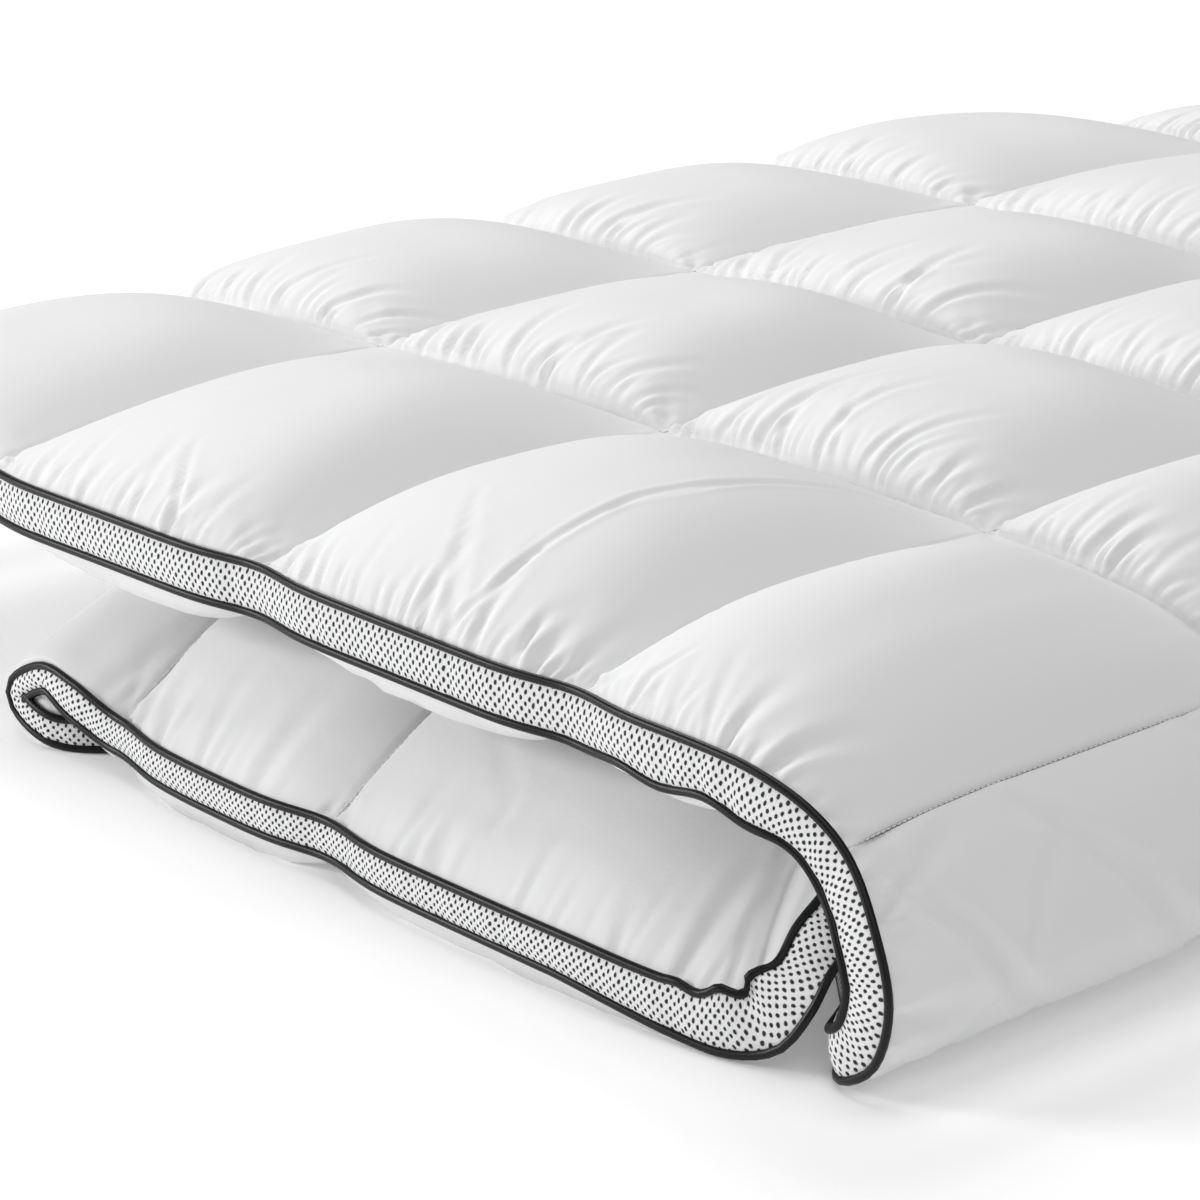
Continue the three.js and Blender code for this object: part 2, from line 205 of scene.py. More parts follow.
def crown(length, width):
    """The crown of a box at a place along and across the duvet."""
    row = np.searchsorted(WIDTH_BOXES[1:-1], width, side="right")
    across = rise(WIDTH_BOXES, width, FRONT_SIDE, REAR_SIDE)
    across = np.where(row == 0, rise(WIDTH_BOXES, width, PIPED_SIDE, REAR_SIDE), across)
    last = row == INNER_ROWS + 1
    across = np.where(last, rise(WIDTH_BOXES, width, FRONT_SIDE, PIPED_SIDE), across)
    full = np.where(row < FULL_ROWS, 1.0, REAR_ROW_CROWN)
    return full * rise(LENGTH_BOXES, length, OUTER_SIDE, INNER_SIDE) * across


def corner_inset(length, width):
    """The rounded corners draw the width in near each end of the strip."""
    radius = np.where(length < STRIP / 2, OUTER_CORNER, INNER_CORNER)
    to_end = np.minimum(np.minimum(length, STRIP - length), radius)
    inset = radius - np.sqrt(radius**2 - (radius - to_end) ** 2)
    to_edge = np.minimum(width, DUVET_WIDTH - width)
    inset = inset * np.clip(1 - to_edge / CORNER_DEPTH, 0, 1)
    return np.where(width < DUVET_WIDTH / 2, width + inset, width - inset)


def grid_normals(points, side):
    """Unit normals of a grid of points, out of the face side or the back side."""
    along = np.gradient(points, axis=0)
    across = np.gradient(points, axis=1)
    normal = side * np.cross(along, across)
    return normal / np.maximum(1e-9, np.linalg.norm(normal, axis=-1, keepdims=True))


# Gathers: soft troughs that run into a box from its stitching. Each kind has the gap between them,
# their depth, half width and length, the distance over which they deepen, their lean at the two
# ends of the box's side and their bend.
GATHERS = {
    "piped, broad": (21.0, 2.3, 3.6, 62.0, 0.6, -0.80, 0.05, 0.002),
    "piped, fine": (6.5, 1.8, 1.9, 26.0, 0.4, -0.75, 0.10, 0.004),
    "row, broad": (15.0, 2.9, 3.4, 84.0, 0.6, -0.60, 0.35, 0.002),
    "row, fine": (6.5, 1.8, 1.9, 32.0, 0.4, -0.60, 0.35, 0.003),
    "slack, broad": (36.0, 2.2, 6.0, 62.0, 1.5, -0.70, 0.50, 0.002),
    "slack, fine": (12.0, 1.2, 2.8, 34.0, 0.8, -0.40, 0.30, 0.002),
    "channel": (12.0, 0.55, 2.6, 26.0, 1.0, -0.25, 0.25, 0.002),
    "faint": (22.0, 0.35, 4.0, 40.0, 2.0, -0.20, 0.20, 0.001),
    "fold, broad": (19.0, 4.2, 4.6, 88.0, 1.0, -0.45, 0.70, 0.002),
    "fold, fine": (8.0, 2.4, 2.4, 34.0, 0.5, -0.40, 0.60, 0.002),
}
STAR_TROUGHS = 3
STAR_ANGLES = (24.0, 66.0)
STAR_REACH = (22.0, 52.0)


def trough(off, half):
    """A valley with a low ridge on either side of it."""
    t = np.abs(off) / half
    return np.exp(-(t**1.7)) - 0.42 * np.exp(-(((t - 1.75) / 0.85) ** 2))


def gather_side(random, kind, along, away, span, out):
    """Cuts one box side's troughs into out, given each point's place along the side and off it."""
    gap, depth, half, reach, start, low_lean, high_lean, bend = GATHERS[kind]
    place = random.uniform(0.2, 1.0) * gap
    while place < span - 0.2 * gap:
        size = random.uniform(0.3, 1.3)
        if kind.startswith("row"):
            # Row gathers get smaller toward the end of their side.
            size *= 1 - 0.6 * float(ease(4 * place / span - 3))
        this_reach = reach * (0.35 + 0.75 * random.uniform(0, 1)) * (0.7 + 0.3 * size)
        lean = low_lean + (high_lean - low_lean) * place / span + random.normal(0, 0.18)
        centre = place + lean * away + bend * random.uniform(0.2, 1.8) * away**2
        width = half * (0.6 + 0.35 * size) * (0.65 + 0.8 * away / this_reach)
        fade = np.clip(1 - away / this_reach, 0, 1) ** 1.2 * away / (away + start)
        out -= depth * size * trough(along - centre, width) * fade
        place += gap * random.uniform(0.45, 1.6)


def star(random, along, across, depth, out):
    """Cuts a few troughs into out that spread into a box from one of its corners."""
    for _ in range(STAR_TROUGHS):
        angle = math.radians(random.uniform(*STAR_ANGLES))
        reach = random.uniform(*STAR_REACH)
        ahead = along * math.cos(angle) + across * math.sin(angle)
        off = across * math.cos(angle) - along * math.sin(angle)
        fade = np.clip(1 - ahead / reach, 0, 1) * np.clip(ahead / (ahead + 4.0), 0, 1)
        half = 2.2 + 0.10 * np.clip(ahead, 0, reach)
        out -= depth * random.uniform(0.5, 1.2) * trough(off, half) * fade * (ahead > 0)


# The long creases that the photo shows: each one's depth, half width and line of places along and
# across the quilt.
CREASES = {
    "front left, long": (1.7, 2.4, ((530, 2), (517, 15), (499, 35), (468, 75))),
    "front left, second": (1.2, 2.2, ((529, 8), (510, 29), (484, 59))),
    "sweep, first part": (
        1.5, 2.1, ((528, 2), (534, 18), (534, 50), (535, 100), (541, 132), (547, 161))
    ),
    "sweep, second part": (0.8, 2.4, ((541, 132), (547, 161), (555, 196), (571, 223), (592, 241))),
    "sweep, beside": (0.8, 1.9, ((536, 88), (543, 121), (548, 163), (556, 193), (568, 228))),
    "third box": (1.3, 2.0, ((635, 5), (633, 16), (641, 38))),
    "first box, pinch": (2.4, 2.2, ((345, 2), (337, 15), (312, 44))),
    "first box, sweep": (0.35, 2.4, ((249, 39), (259, 82), (306, 116), (340, 150))),
    "second row, sweep": (0.35, 2.6, ((477, 283), (525, 336), (555, 369), (580, 412))),
    "lower layer, bend": (0.7, 3.4, ((1612, 78), (1655, 54), (1688, 34), (1692, 14))),
    "fold side, first": (2.6, 3.4, ((756, 14), (775, 30), (800, 58), (826, 98))),
    "fold side, fourth": (1.6, 4.6, ((752, 205), (772, 236), (800, 262), (838, 300))),
    "fold side, second": (1.4, 4.0, ((824, 40), (808, 66), (786, 84), (762, 118))),
    "fold side, third": (2.0, 4.2, ((757, 92), (775, 118), (800, 150), (832, 205))),
}
CREASE_MARGIN = 20.0
CREASE_FINENESS = 12


def within(values, low, high):
    return (values >= low) & (values <= high)


def crease_depth(length, width):
    """The depth of the long creases over a grid of places."""
    out = np.zeros(length.shape)
    for depth, half, stroke in CREASES.values():
        points = np.array(stroke, float)
        place = np.arange(len(points))
        fine = np.linspace(0, len(points) - 1, CREASE_FINENESS * len(points))
        a, b = np.interp(fine, place, points[:, 0]), np.interp(fine, place, points[:, 1])
        rows = within(length[:, 0], a.min() - CREASE_MARGIN, a.max() + CREASE_MARGIN)
        lines = within(width[0], b.min() - CREASE_MARGIN, b.max() + CREASE_MARGIN)
        if not rows.any() or not lines.any():
            continue
        patch = np.ix_(rows, lines)
        far = np.hypot(length[patch][..., None] - a, width[patch][..., None] - b)
        nearest = far.argmin(-1)
        share = fine[nearest] / fine[-1]
        taper = np.sin(math.pi * np.clip(0.12 + 0.88 * share, 0, 1)) ** 0.6
        out[patch] -= depth * trough(far.min(-1), half) * taper
    return out


def seam_groove(length, width):
    """The stitching draws the face down in a narrow line along every seam."""
    off = np.minimum(
        np.min([np.abs(length - seam) for seam in LENGTH_SEAMS], axis=0),
        np.min([np.abs(width - seam) for seam in WIDTH_SEAMS], axis=0),
    )
    return GROOVE_DEPTH * np.exp(-((off / GROOVE_HALF) ** 2))


# Each box has its own seed, and its wrinkles are shallower right beside its stitching.
FIRST_SEED = 1000
SEEDS_A_CHANNEL = 40
HEM_REACH = 1.2
HEM_SHARE = 0.35


def wrinkles(length, width, zone):
    """The depth of the cloth's wrinkles over a grid of places, box by box."""
    out = np.zeros(length.shape)
    for i in range(len(LENGTH_BOXES) - 1):
        low, high = LENGTH_BOXES[i], LENGTH_BOXES[i + 1]
        rows = within(length[:, 0], low, high)
        for j in range(len(WIDTH_BOXES) - 1):
            near, far = WIDTH_BOXES[j], WIDTH_BOXES[j + 1]
            lines = within(width[0], near, far)
            if not rows.any() or not lines.any():
                continue
            random = np.random.default_rng(FIRST_SEED + SEEDS_A_CHANNEL * i + j)
            patch = np.ix_(rows, lines)
            along, across = length[patch] - low, width[patch] - near
            span, depth = high - low, far - near
            local = np.zeros(along.shape)
            piped, seamed, star_depth = zone(low)
            last = j == len(WIDTH_BOXES) - 2
            for kind in piped if j == 0 else seamed:
                gather_side(random, kind, along, across, span, local)
            for kind in piped if last else ("faint",):
                gather_side(random, kind, along, depth - across, span, local)
            gather_side(random, "channel", across, along, depth, local)
            gather_side(random, "channel", across, span - along, depth, local)
            for a in (along, span - along):
                star(random, a, across, star_depth, local)
                star(random, a, depth - across, 0.35 * star_depth, local)
            hem = np.minimum(np.minimum(along, span - along), np.minimum(across, depth - across))
            out[patch] = local * (HEM_SHARE + (1 - HEM_SHARE) * ease(hem / HEM_REACH))
    return out


def face_zone(at):
    """The face's gathers along the piping and the row seams, by where the box starts."""
    if at < AT["channel D"] - 1:
        return ("piped, broad", "piped, fine"), ("row, broad", "row, fine"), 1.4
    if at < AT["channel G"] - 1:
        return ("fold, broad", "fold, fine"), ("faint",), 0.5
    return ("slack, broad", "slack, fine"), ("slack, broad", "slack, fine"), 0.9


def back_zone(_at):
    """The back's gathers, which are the same in every box."""
    return ("piped, fine",), ("faint",), 0.3


def swell(length, width):
    """A slow unevenness of the filling, so that no two boxes are quite alike."""
    a = np.sin(length * 0.021 + 1.3 * np.sin(width * 0.009)) * np.sin(width * 0.017 + 0.8)
    b = np.sin(length * 0.047 + width * 0.013) * np.sin(width * 0.036 - length * 0.008 + 2.0)
    return 0.7 * a + 0.5 * b


def surface(length, width, side, zone):
    """One side of the quilt over a grid of places, kept off the floor."""
    inset = corner_inset(length, width)
    shape = crown(length, width)
    height = column("face" if side > 0 else "back", length) * shape + swell(length, width) * shape
    if side < 0:
        reach = np.where(length > AT["curl end"], INNER_BELLY_REACH, BELLY_REACH)
        behind = np.minimum(inset, DUVET_WIDTH - inset) / reach
        sag = BELLY_SCALE * column("belly", length) * behind * np.exp(1 - behind)
        height = height + sag * rise(LENGTH_BOXES, length, OUTER_SIDE, INNER_SIDE)
    offset = (side * (SEAM_HALF + height))[..., None]
    base = middle(length, inset) + face_normal(length, inset) * offset
    depth = wrinkles(length, width, zone)
    if side > 0:
        depth += crease_depth(length, width)
        depth -= seam_groove(length, width)
    base += grid_normals(base, side) * depth[..., None]
    base[..., 2] = np.maximum(0.0, base[..., 2])
    return base


# Mesh lines. Each span between seams is cut finer beside its seams than in its middle.
FINE_REACH = 40.0
LAST_GAP = 0.4
HEM_LINE = 0.45


def span_lines(low, high, step, near):
    """The lines of one span: near apart beside its seams and step apart in its middle."""
    lines, at = [], low
    while at < high - LAST_GAP * near:
        lines.append(at)
        off = min(at - low, high - at)
        at += near + (step - near) * float(ease(off / FINE_REACH))
    hem = HEM_LINE * near
    return sorted({*lines, low + hem, high - hem})


def strip_lines(low, high, step, near):
    """The lines of a stretch of the strip, without its last one."""
    stops = [low, *[seam for seam in LENGTH_SEAMS if low < seam < high], high]
    return [x for a, b in zip(stops, stops[1:]) for x in span_lines(a, b, step, near)]


def cross_lines(steps, near):
    """The lines across the quilt, with one step for each row of boxes."""
    lines = []
    for (a, b), step in zip(zip(WIDTH_BOXES, WIDTH_BOXES[1:]), steps):
        lines += span_lines(a, b, step, near * step / steps[0])
    return np.array([*lines, DUVET_WIDTH])


# The band's lower half is narrower along the inner layer, whose cloth hangs below it there.
TRIM = {
    "under end": 0.0,
    "curl end": 2.5,
    "channel H": 6.0,
    "channel I": 5.5,
    "middle of B": 4.5,
    "hook start": 0.5,
}

# Two stretches of piping have rumpled. Each has its two ends along the strip, a pitch and a size.
INNER_RUFFLE = (AT["hook start"] - 26.0, STRIP, 25.0, 2.6)
FOLD_RUFFLE = (590.0, 770.0, 52.0, 1.7)


def ruffle(length, low, high, pitch, size):
    """How far a sewn edge has moved where it has rumpled."""
    share = np.clip((length - low) / (high - low), 0, 1)
    return size * np.sin(2 * math.pi * (length - low) / pitch) * np.sin(math.pi * share)


def upper_band(length):
    """The band's height above the mid-surface, up to the piping on the face side."""
    return column("band", length) + ruffle(length, *INNER_RUFFLE)


def lower_band(length):
    """The band's height below the mid-surface, down to the piping on the back side."""
    trim = np.interp(length, [AT[name] for name in TRIM], list(TRIM.values()))
    return column("band", length) - trim + ruffle(length, *FOLD_RUFFLE)


def way_out(ahead, up):
    """The unit way out of the quilt's edge, from the way along it and the way up."""
    out = np.cross(ahead, up)
    return out / np.maximum(1e-9, np.linalg.norm(out, axis=-1, keepdims=True))


def edge_frames(length, width):
    """Where the edge of the quilt runs, the way out of it and the way up to the face side."""
    inset = corner_inset(length, width)
    place = middle(length, inset)
    up = face_normal(length, inset)
    ahead = np.roll(place, -1, axis=0) - np.roll(place, 1, axis=0)
    return place, way_out(ahead, up), up


# The cloth's rim lies a little inside the edge and inside the band's height, behind the piping.
RIM_IN = 1.6
RIM_LAP = 0.6


def rim(length, width, side, turn):
    """One side's rim along a border: an open run, so its ends keep their own direction."""
    inset = corner_inset(length, width)
    place = middle(length, inset)
    up = face_normal(length, inset)
    out = way_out(np.gradient(place, axis=0) * turn, up)
    height = upper_band(length) if side > 0 else lower_band(length)
    return place - RIM_IN * out + (side * (height - RIM_LAP))[:, None] * up


def border_of(lines_a, lines_b):
    """The border of a grid as index pairs, once round, and each one's place round it."""
    n, m = len(lines_a) - 1, len(lines_b) - 1
    pairs = [(i, 0) for i in range(n)] + [(n, j) for j in range(m)]
    pairs += [(i, m) for i in range(n, 0, -1)] + [(0, j) for j in range(m, 0, -1)]
    places = []
    span_a, span_b = lines_a[-1] - lines_a[0], lines_b[-1] - lines_b[0]
    for k, (i, j) in enumerate(pairs):
        a, b = lines_a[i] - lines_a[0], lines_b[j] - lines_b[0]
        if k <= n:
            places.append(a)
        elif k <= n + m:
            places.append(span_a + b)
        elif k <= 2 * n + m:
            places.append(2 * span_a + span_b - a)
        else:
            places.append(2 * span_a + 2 * span_b - b)
    return pairs, places


def wall(face_rim, back_rim):
    """Triangles that join two rims, each given as its points and their places round it."""
    (top, top_at), (foot, foot_at) = face_rim, back_rim
    faces = []
    i = j = 0
    while i < len(top) or j < len(foot):
        a, b = top[i % len(top)], foot[j % len(foot)]
        next_top = top_at[i + 1] if i + 1 < len(top) else math.inf
        next_foot = foot_at[j + 1] if j + 1 < len(foot) else math.inf
        if i < len(top) and (next_top <= next_foot or j >= len(foot)):
            faces.append((a, b, top[(i + 1) % len(top)]))
            i += 1
        else:
            faces.append((a, b, foot[(j + 1) % len(foot)]))
            j += 1
    return faces


def make_mesh(name, points, faces, material, uvs=None):
    """A smooth mesh in the scene, from points in the drawing's millimetres."""
    metres = (np.asarray(points) + ORIGIN) * MM
    mesh = bpy.data.meshes.new(name)
    mesh.from_pydata(metres.tolist(), [], [list(map(int, face)) for face in faces])
    mesh.polygons.foreach_set("use_smooth", [True] * len(mesh.polygons))
    if uvs is not None:
        layer = mesh.uv_layers.new(name="band")
        corner = np.empty(len(mesh.loops), np.int32)
        mesh.loops.foreach_get("vertex_index", corner)
        layer.data.foreach_set("uv", np.asarray(uvs, np.float32)[corner].ravel())
    mesh.materials.append(material)
    mesh.update()
    piece = bpy.data.objects.new(name, mesh)
    bpy.context.scene.collection.objects.link(piece)
    return piece


def pad(name, face_lines, face_cross, back_lines, back_cross, material):
    """A closed length of the quilt: a fine face, a plainer back and a wall between their rims."""
    points, faces, rims = [], [], []
    count = 0
    sides = ((face_lines, face_cross, 1, face_zone), (back_lines, back_cross, -1, back_zone))
    for lines, cross, side, zone in sides:
        length, width = np.meshgrid(lines, cross, indexing="ij")
        grid = surface(length, width, side, zone)
        for j, turn in ((0, 1), (-1, -1)):
            grid[:, j] = rim(length[:, j], width[:, j], side, turn)
        for i, end, turn in ((0, 0.0, -1), (-1, STRIP, 1)):
            if abs(lines[i] - end) < 1e-6:
                grid[i] = rim(np.full(len(cross), end), cross, side, turn)
        index = count + np.arange(grid[..., 0].size).reshape(grid.shape[:2])
        corners = (index[:-1, :-1], index[1:, :-1], index[1:, 1:], index[:-1, 1:])
        quads = np.stack(corners, -1).reshape(-1, 4)
        faces += [tuple(quad) for quad in (quads if side > 0 else quads[:, ::-1])]
        points.append(grid.reshape(-1, 3))
        pairs, places = border_of(lines, cross)
        rims.append(([index[pair] for pair in pairs], places))
        count += index.size
    return make_mesh(name, np.concatenate(points), faces + wall(*rims), material)


# How far apart the places round the edge are: along the strip, near its inner end and across its
# ends. Places closer than the least step are left out.
STRIP_STEP = 4.0
INNER_END_STEP = 2.0
INNER_END_REACH = 30.0
ACROSS_STEP = 5.0
LEAST_STEP = 0.6


def perimeter():
    """The places round the duvet's edge, close together, once round, with their frames."""
    fine_from = STRIP - INNER_END_REACH
    lines = [0.0, *np.arange(1.0, fine_from, STRIP_STEP)]
    lines = np.array([*lines, *np.arange(fine_from, STRIP, INNER_END_STEP), STRIP])
    inside = np.arange(ACROSS_STEP, DUVET_WIDTH, ACROSS_STEP)
    cross = np.concatenate([[0.0], inside, [DUVET_WIDTH]])
    runs = [
        (lines[:-1], np.zeros(len(lines) - 1)),
        (np.full(len(cross) - 1, STRIP), cross[:-1]),
        (lines[:0:-1], np.full(len(lines) - 1, DUVET_WIDTH)),
        (np.zeros(len(cross) - 1), cross[:0:-1]),
    ]
    length = np.concatenate([along for along, _ in runs])
    width = np.concatenate([across for _, across in runs])
    place, _, _ = edge_frames(length, width)
    keep = np.linalg.norm(place - np.roll(place, 1, axis=0), axis=1) > LEAST_STEP
    length, width = length[keep], width[keep]
    return length, *edge_frames(length, width)


def distance_along(place):
    """The distance along a line of places, from its first one."""
    return np.concatenate([[0.0], np.cumsum(np.linalg.norm(np.diff(place, axis=0), axis=1))])


def swept(name, sections, material, uvs=None):
    """A closed ring swept round the edge from one closed section a place."""
    n, m = sections.shape[:2]
    index = np.arange(n * m).reshape(n, m)
    ahead = np.roll(index, -1, axis=0)
    a, b = index, np.roll(index, -1, axis=1)
    c, d = np.roll(ahead, -1, axis=1), ahead
    faces = np.stack([a, d, c, b], -1).reshape(-1, 4)
    return make_mesh(name, sections.reshape(-1, 3), faces, material, uvs)


# Materials. An input's name has underscores for its spaces.
def set_inputs(node, inputs):
    for key, value in inputs.items():
        node.inputs[key.replace("_", " ")].default_value = value
    return node


def add(nodes, kind, **inputs):
    return set_inputs(nodes.new(kind), inputs)


def new_material(name, **inputs):
    """A material, its nodes and links, and its shader with these inputs."""
    material = bpy.data.materials.new(name)
    material.use_nodes = True
    tree = material.node_tree
    return material, tree.nodes, tree.links, set_inputs(tree.nodes["Principled BSDF"], inputs)


def cotton():
    """White cotton with a slow softness and a fine grain."""
    material, nodes, links, shader = new_material(
        "quilt_cotton",
        Base_Color=(0.80, 0.80, 0.805, 1),
        Roughness=0.72,
        Sheen_Weight=0.12,
        Sheen_Roughness=0.5,
        Specular_IOR_Level=0.25,
    )
    where = nodes.new("ShaderNodeTexCoord")
    soft = add(nodes, "ShaderNodeTexNoise", Scale=38.0, Detail=3.0, Roughness=0.5)
    fine = add(nodes, "ShaderNodeTexNoise", Scale=700.0, Detail=2.0, Roughness=0.6)
    links.new(where.outputs["Object"], soft.inputs["Vector"])
    links.new(where.outputs["Object"], fine.inputs["Vector"])
    soft_bump = add(nodes, "ShaderNodeBump", Strength=0.22, Distance=0.0016)
    fine_bump = add(nodes, "ShaderNodeBump", Strength=0.16, Distance=0.00035)
    links.new(soft.outputs["Fac"], soft_bump.inputs["Height"])
    links.new(fine.outputs["Fac"], fine_bump.inputs["Height"])
    links.new(soft_bump.outputs["Normal"], fine_bump.inputs["Normal"])
    links.new(fine_bump.outputs["Normal"], shader.inputs["Normal"])
    return material


def satin():
    """The pipings' black satin."""
    material, nodes, links, shader = new_material(
        "piping_satin",
        Base_Color=(0.0035, 0.0035, 0.004, 1),
        Roughness=0.42,
        Sheen_Weight=0.03,
        Sheen_Roughness=0.4,
        Specular_IOR_Level=0.3,
    )
    where = nodes.new("ShaderNodeTexCoord")
    grain = add(nodes, "ShaderNodeTexNoise", Scale=1400.0, Detail=2.0)
    bump = add(nodes, "ShaderNodeBump", Strength=0.25, Distance=0.0002)
    links.new(where.outputs["Object"], grain.inputs["Vector"])
    links.new(grain.outputs["Fac"], bump.inputs["Height"])
    links.new(bump.outputs["Normal"], shader.inputs["Normal"])
    return material


# The knit's holes stand in staggered rows, PITCH_ALONG and PITCH_UP apart in millimetres. Their
# half sizes are shares of those pitches.
PITCH_ALONG = 4.1
PITCH_UP = 5.2
HOLE_ALONG = 0.165
HOLE_UP = 0.205
ROW_WOBBLE = 1.6


def knit():
    """The band's white knit with small holes, laid out by the band's own UVs in millimetres, with
    painted shade in the holes.
    """
    material, nodes, links, shader = new_material(
        "band_knit", Roughness=0.85, Specular_IOR_Level=0.2
    )
    place = nodes.new("ShaderNodeUVMap")
    place.uv_map = "band"
    split = nodes.new("ShaderNodeSeparateXYZ")
    links.new(place.outputs["UV"], split.inputs["Vector"])

    def maths(operation, *values):
        node = nodes.new("ShaderNodeMath")
        node.operation = operation
        for socket, value in zip(node.inputs, values):
            if isinstance(value, float):
                socket.default_value = value
            else:
                links.new(value, socket)
        return node.outputs["Value"]

    wobble = add(nodes, "ShaderNodeTexNoise", Scale=0.12, Detail=2.0)
    links.new(place.outputs["UV"], wobble.inputs["Vector"])
    shift = maths("MULTIPLY", maths("SUBTRACT", wobble.outputs["Fac"], 0.5), ROW_WOBBLE)
    u = maths("ADD", split.outputs["X"], shift)
    v = maths("ADD", split.outputs["Y"], shift)

    def off_hole(place, pitch, stagger, half):
        cell = maths("FRACT", maths("ADD", maths("DIVIDE", place, pitch), stagger))
        share = maths("DIVIDE", maths("SUBTRACT", cell, 0.5), half)
        return maths("POWER", maths("ABSOLUTE", share), 2.0)

    def off_holes(stagger):
        along = off_hole(u, PITCH_ALONG, stagger, HOLE_ALONG)
        return maths("ADD", along, off_hole(v, PITCH_UP, stagger, HOLE_UP))

    nearest = maths("MINIMUM", off_holes(0.0), off_holes(0.5))
    uneven = add(nodes, "ShaderNodeTexNoise", Scale=0.35, Detail=1.0)
    links.new(place.outputs["UV"], uneven.inputs["Vector"])
    spread = maths("ADD", maths("MULTIPLY", uneven.outputs["Fac"], 1.7), 0.15)
    hole_and_painted_shade = nodes.new("ShaderNodeMapRange")
    hole_and_painted_shade.interpolation_type = "SMOOTHSTEP"
    links.new(maths("MULTIPLY", nearest, spread), hole_and_painted_shade.inputs["Value"])
    hole_and_painted_shade.inputs["From Min"].default_value = 0.55
    hole_and_painted_shade.inputs["From Max"].default_value = 1.5
    # The near-black colour in the holes is painted shade, the shade inside each hole of the knit.
    # The white is the knit's own colour.
    knit_with_painted_hole_shade = nodes.new("ShaderNodeMix")
    knit_with_painted_hole_shade.data_type = "RGBA"
    links.new(hole_and_painted_shade.outputs["Result"], knit_with_painted_hole_shade.inputs["Factor"])
    knit_with_painted_hole_shade.inputs["A"].default_value = (0.035, 0.035, 0.037, 1)
    knit_with_painted_hole_shade.inputs["B"].default_value = (0.84, 0.84, 0.845, 1)
    links.new(knit_with_painted_hole_shade.outputs["Result"], shader.inputs["Base Color"])
    bump = add(nodes, "ShaderNodeBump", Strength=0.8, Distance=0.0006)
    links.new(hole_and_painted_shade.outputs["Result"], bump.inputs["Height"])
    rough = add(nodes, "ShaderNodeTexNoise", Scale=1100.0, Detail=2.0)
    where = nodes.new("ShaderNodeTexCoord")
    links.new(where.outputs["Object"], rough.inputs["Vector"])
    fuzz = add(nodes, "ShaderNodeBump", Strength=0.5, Distance=0.0004)
    links.new(rough.outputs["Fac"], fuzz.inputs["Height"])
    links.new(bump.outputs["Normal"], fuzz.inputs["Normal"])
    links.new(fuzz.outputs["Normal"], shader.inputs["Normal"])
    return material


COTTON, SATIN, KNIT = cotton(), satin(), knit()

# The quilt, in three closed lengths that meet along channels B and D. Each row of boxes has its
# own step across: the faces' rows, the inner length's rows and the backs' rows, from the front.
FACE_ROW_STEPS = (3.6, 4.2, 5.5, 8.0, 12.0, 16.0, 16.0)
INNER_ROW_STEPS = (4.4, 8.0, 14.0, 20.0, 26.0, 26.0, 20.0)
BACK_ROW_STEPS = (14.0, 24.0, 26.0, 30.0, 34.0, 34.0, 30.0)
FACE_NEAR = 1.6
BACK_NEAR = 4.0
BACK_STEPS = (10.0, 5.0)
CHANNEL_B, CHANNEL_D = AT["channel B"], AT["channel D"]
LENGTHS = {
    "quilt_outer_length": (
        [*strip_lines(0.0, CHANNEL_B, 1.8, 1.4), CHANNEL_B],
        [*strip_lines(0.0, CHANNEL_B, *BACK_STEPS), CHANNEL_B],
        FACE_ROW_STEPS,
    ),
    "quilt_middle_length": (
        [*strip_lines(CHANNEL_B, CHANNEL_D, 1.4, 1.2), CHANNEL_D],
        [*strip_lines(CHANNEL_B, CHANNEL_D, *BACK_STEPS), CHANNEL_D],
        FACE_ROW_STEPS,
    ),
    "quilt_inner_length": (
        [
            *strip_lines(CHANNEL_D, AT["channel E"], 2.4, 1.8),
            *strip_lines(AT["channel E"], AT["channel G"], 16.0, 8.0),
            *strip_lines(AT["channel G"], AT["channel H"], 4.0, 2.6),
            *strip_lines(AT["channel H"], STRIP, 2.2, 1.7),
            STRIP,
        ],
        [*strip_lines(CHANNEL_D, STRIP, *BACK_STEPS), STRIP],
        INNER_ROW_STEPS,
    ),
}
for name, (face_lines, back_lines, row_steps) in LENGTHS.items():
    face_cross = cross_lines(row_steps, FACE_NEAR)
    back_cross = cross_lines(BACK_ROW_STEPS, BACK_NEAR)
    piece = pad(name, np.array(face_lines), face_cross, np.array(back_lines), back_cross, COTTON)
    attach(piece, "root")
    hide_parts("quilted_body")

# The stitches: a short bar of thread each, along all seams of the outer layer and along the inner
# layer's channels.
STITCHED_CHANNELS = "ABCDHI"
STITCH_PITCH = 3.0
STITCH_LENGTH = 2.1
THREAD_HALF = 0.27
THREAD_LIFT = 0.1
SEAM_START = 4.0
SEAM_STEP = 2.0
BAR_CORNERS = ((1, -1), (1, 1), (-1, 1), (-1, -1))
BAR_FACES = ((0, 1, 2, 3), (7, 6, 5, 4), (0, 4, 5, 1), (1, 5, 6, 2), (2, 6, 7, 3), (3, 7, 4, 0))


def stitch_line(length, width):
    """Bars of thread along a line of places on the quilt's face."""
    lift = THREAD_LIFT - GROOVE_DEPTH + SEAM_HALF
    place = middle(length, corner_inset(length, width)) + face_normal(length, width) * lift
    run = distance_along(place)
    starts = np.arange(1.0, run[-1] - STITCH_PITCH, STITCH_PITCH)
    ends = starts + STITCH_LENGTH
    first = np.stack([np.interp(starts, run, place[:, k]) for k in range(3)], -1)
    second = np.stack([np.interp(ends, run, place[:, k]) for k in range(3)], -1)
    up = face_normal(np.interp(starts, run, length), np.interp(starts, run, width))
    beside = np.cross(second - first, up)
    beside /= np.linalg.norm(beside, axis=-1, keepdims=True)
    corners = [first + a * THREAD_HALF * beside + b * THREAD_HALF * up for a, b in BAR_CORNERS]
    corners += [corner + second - first for corner in corners]
    return np.stack(corners, 1)


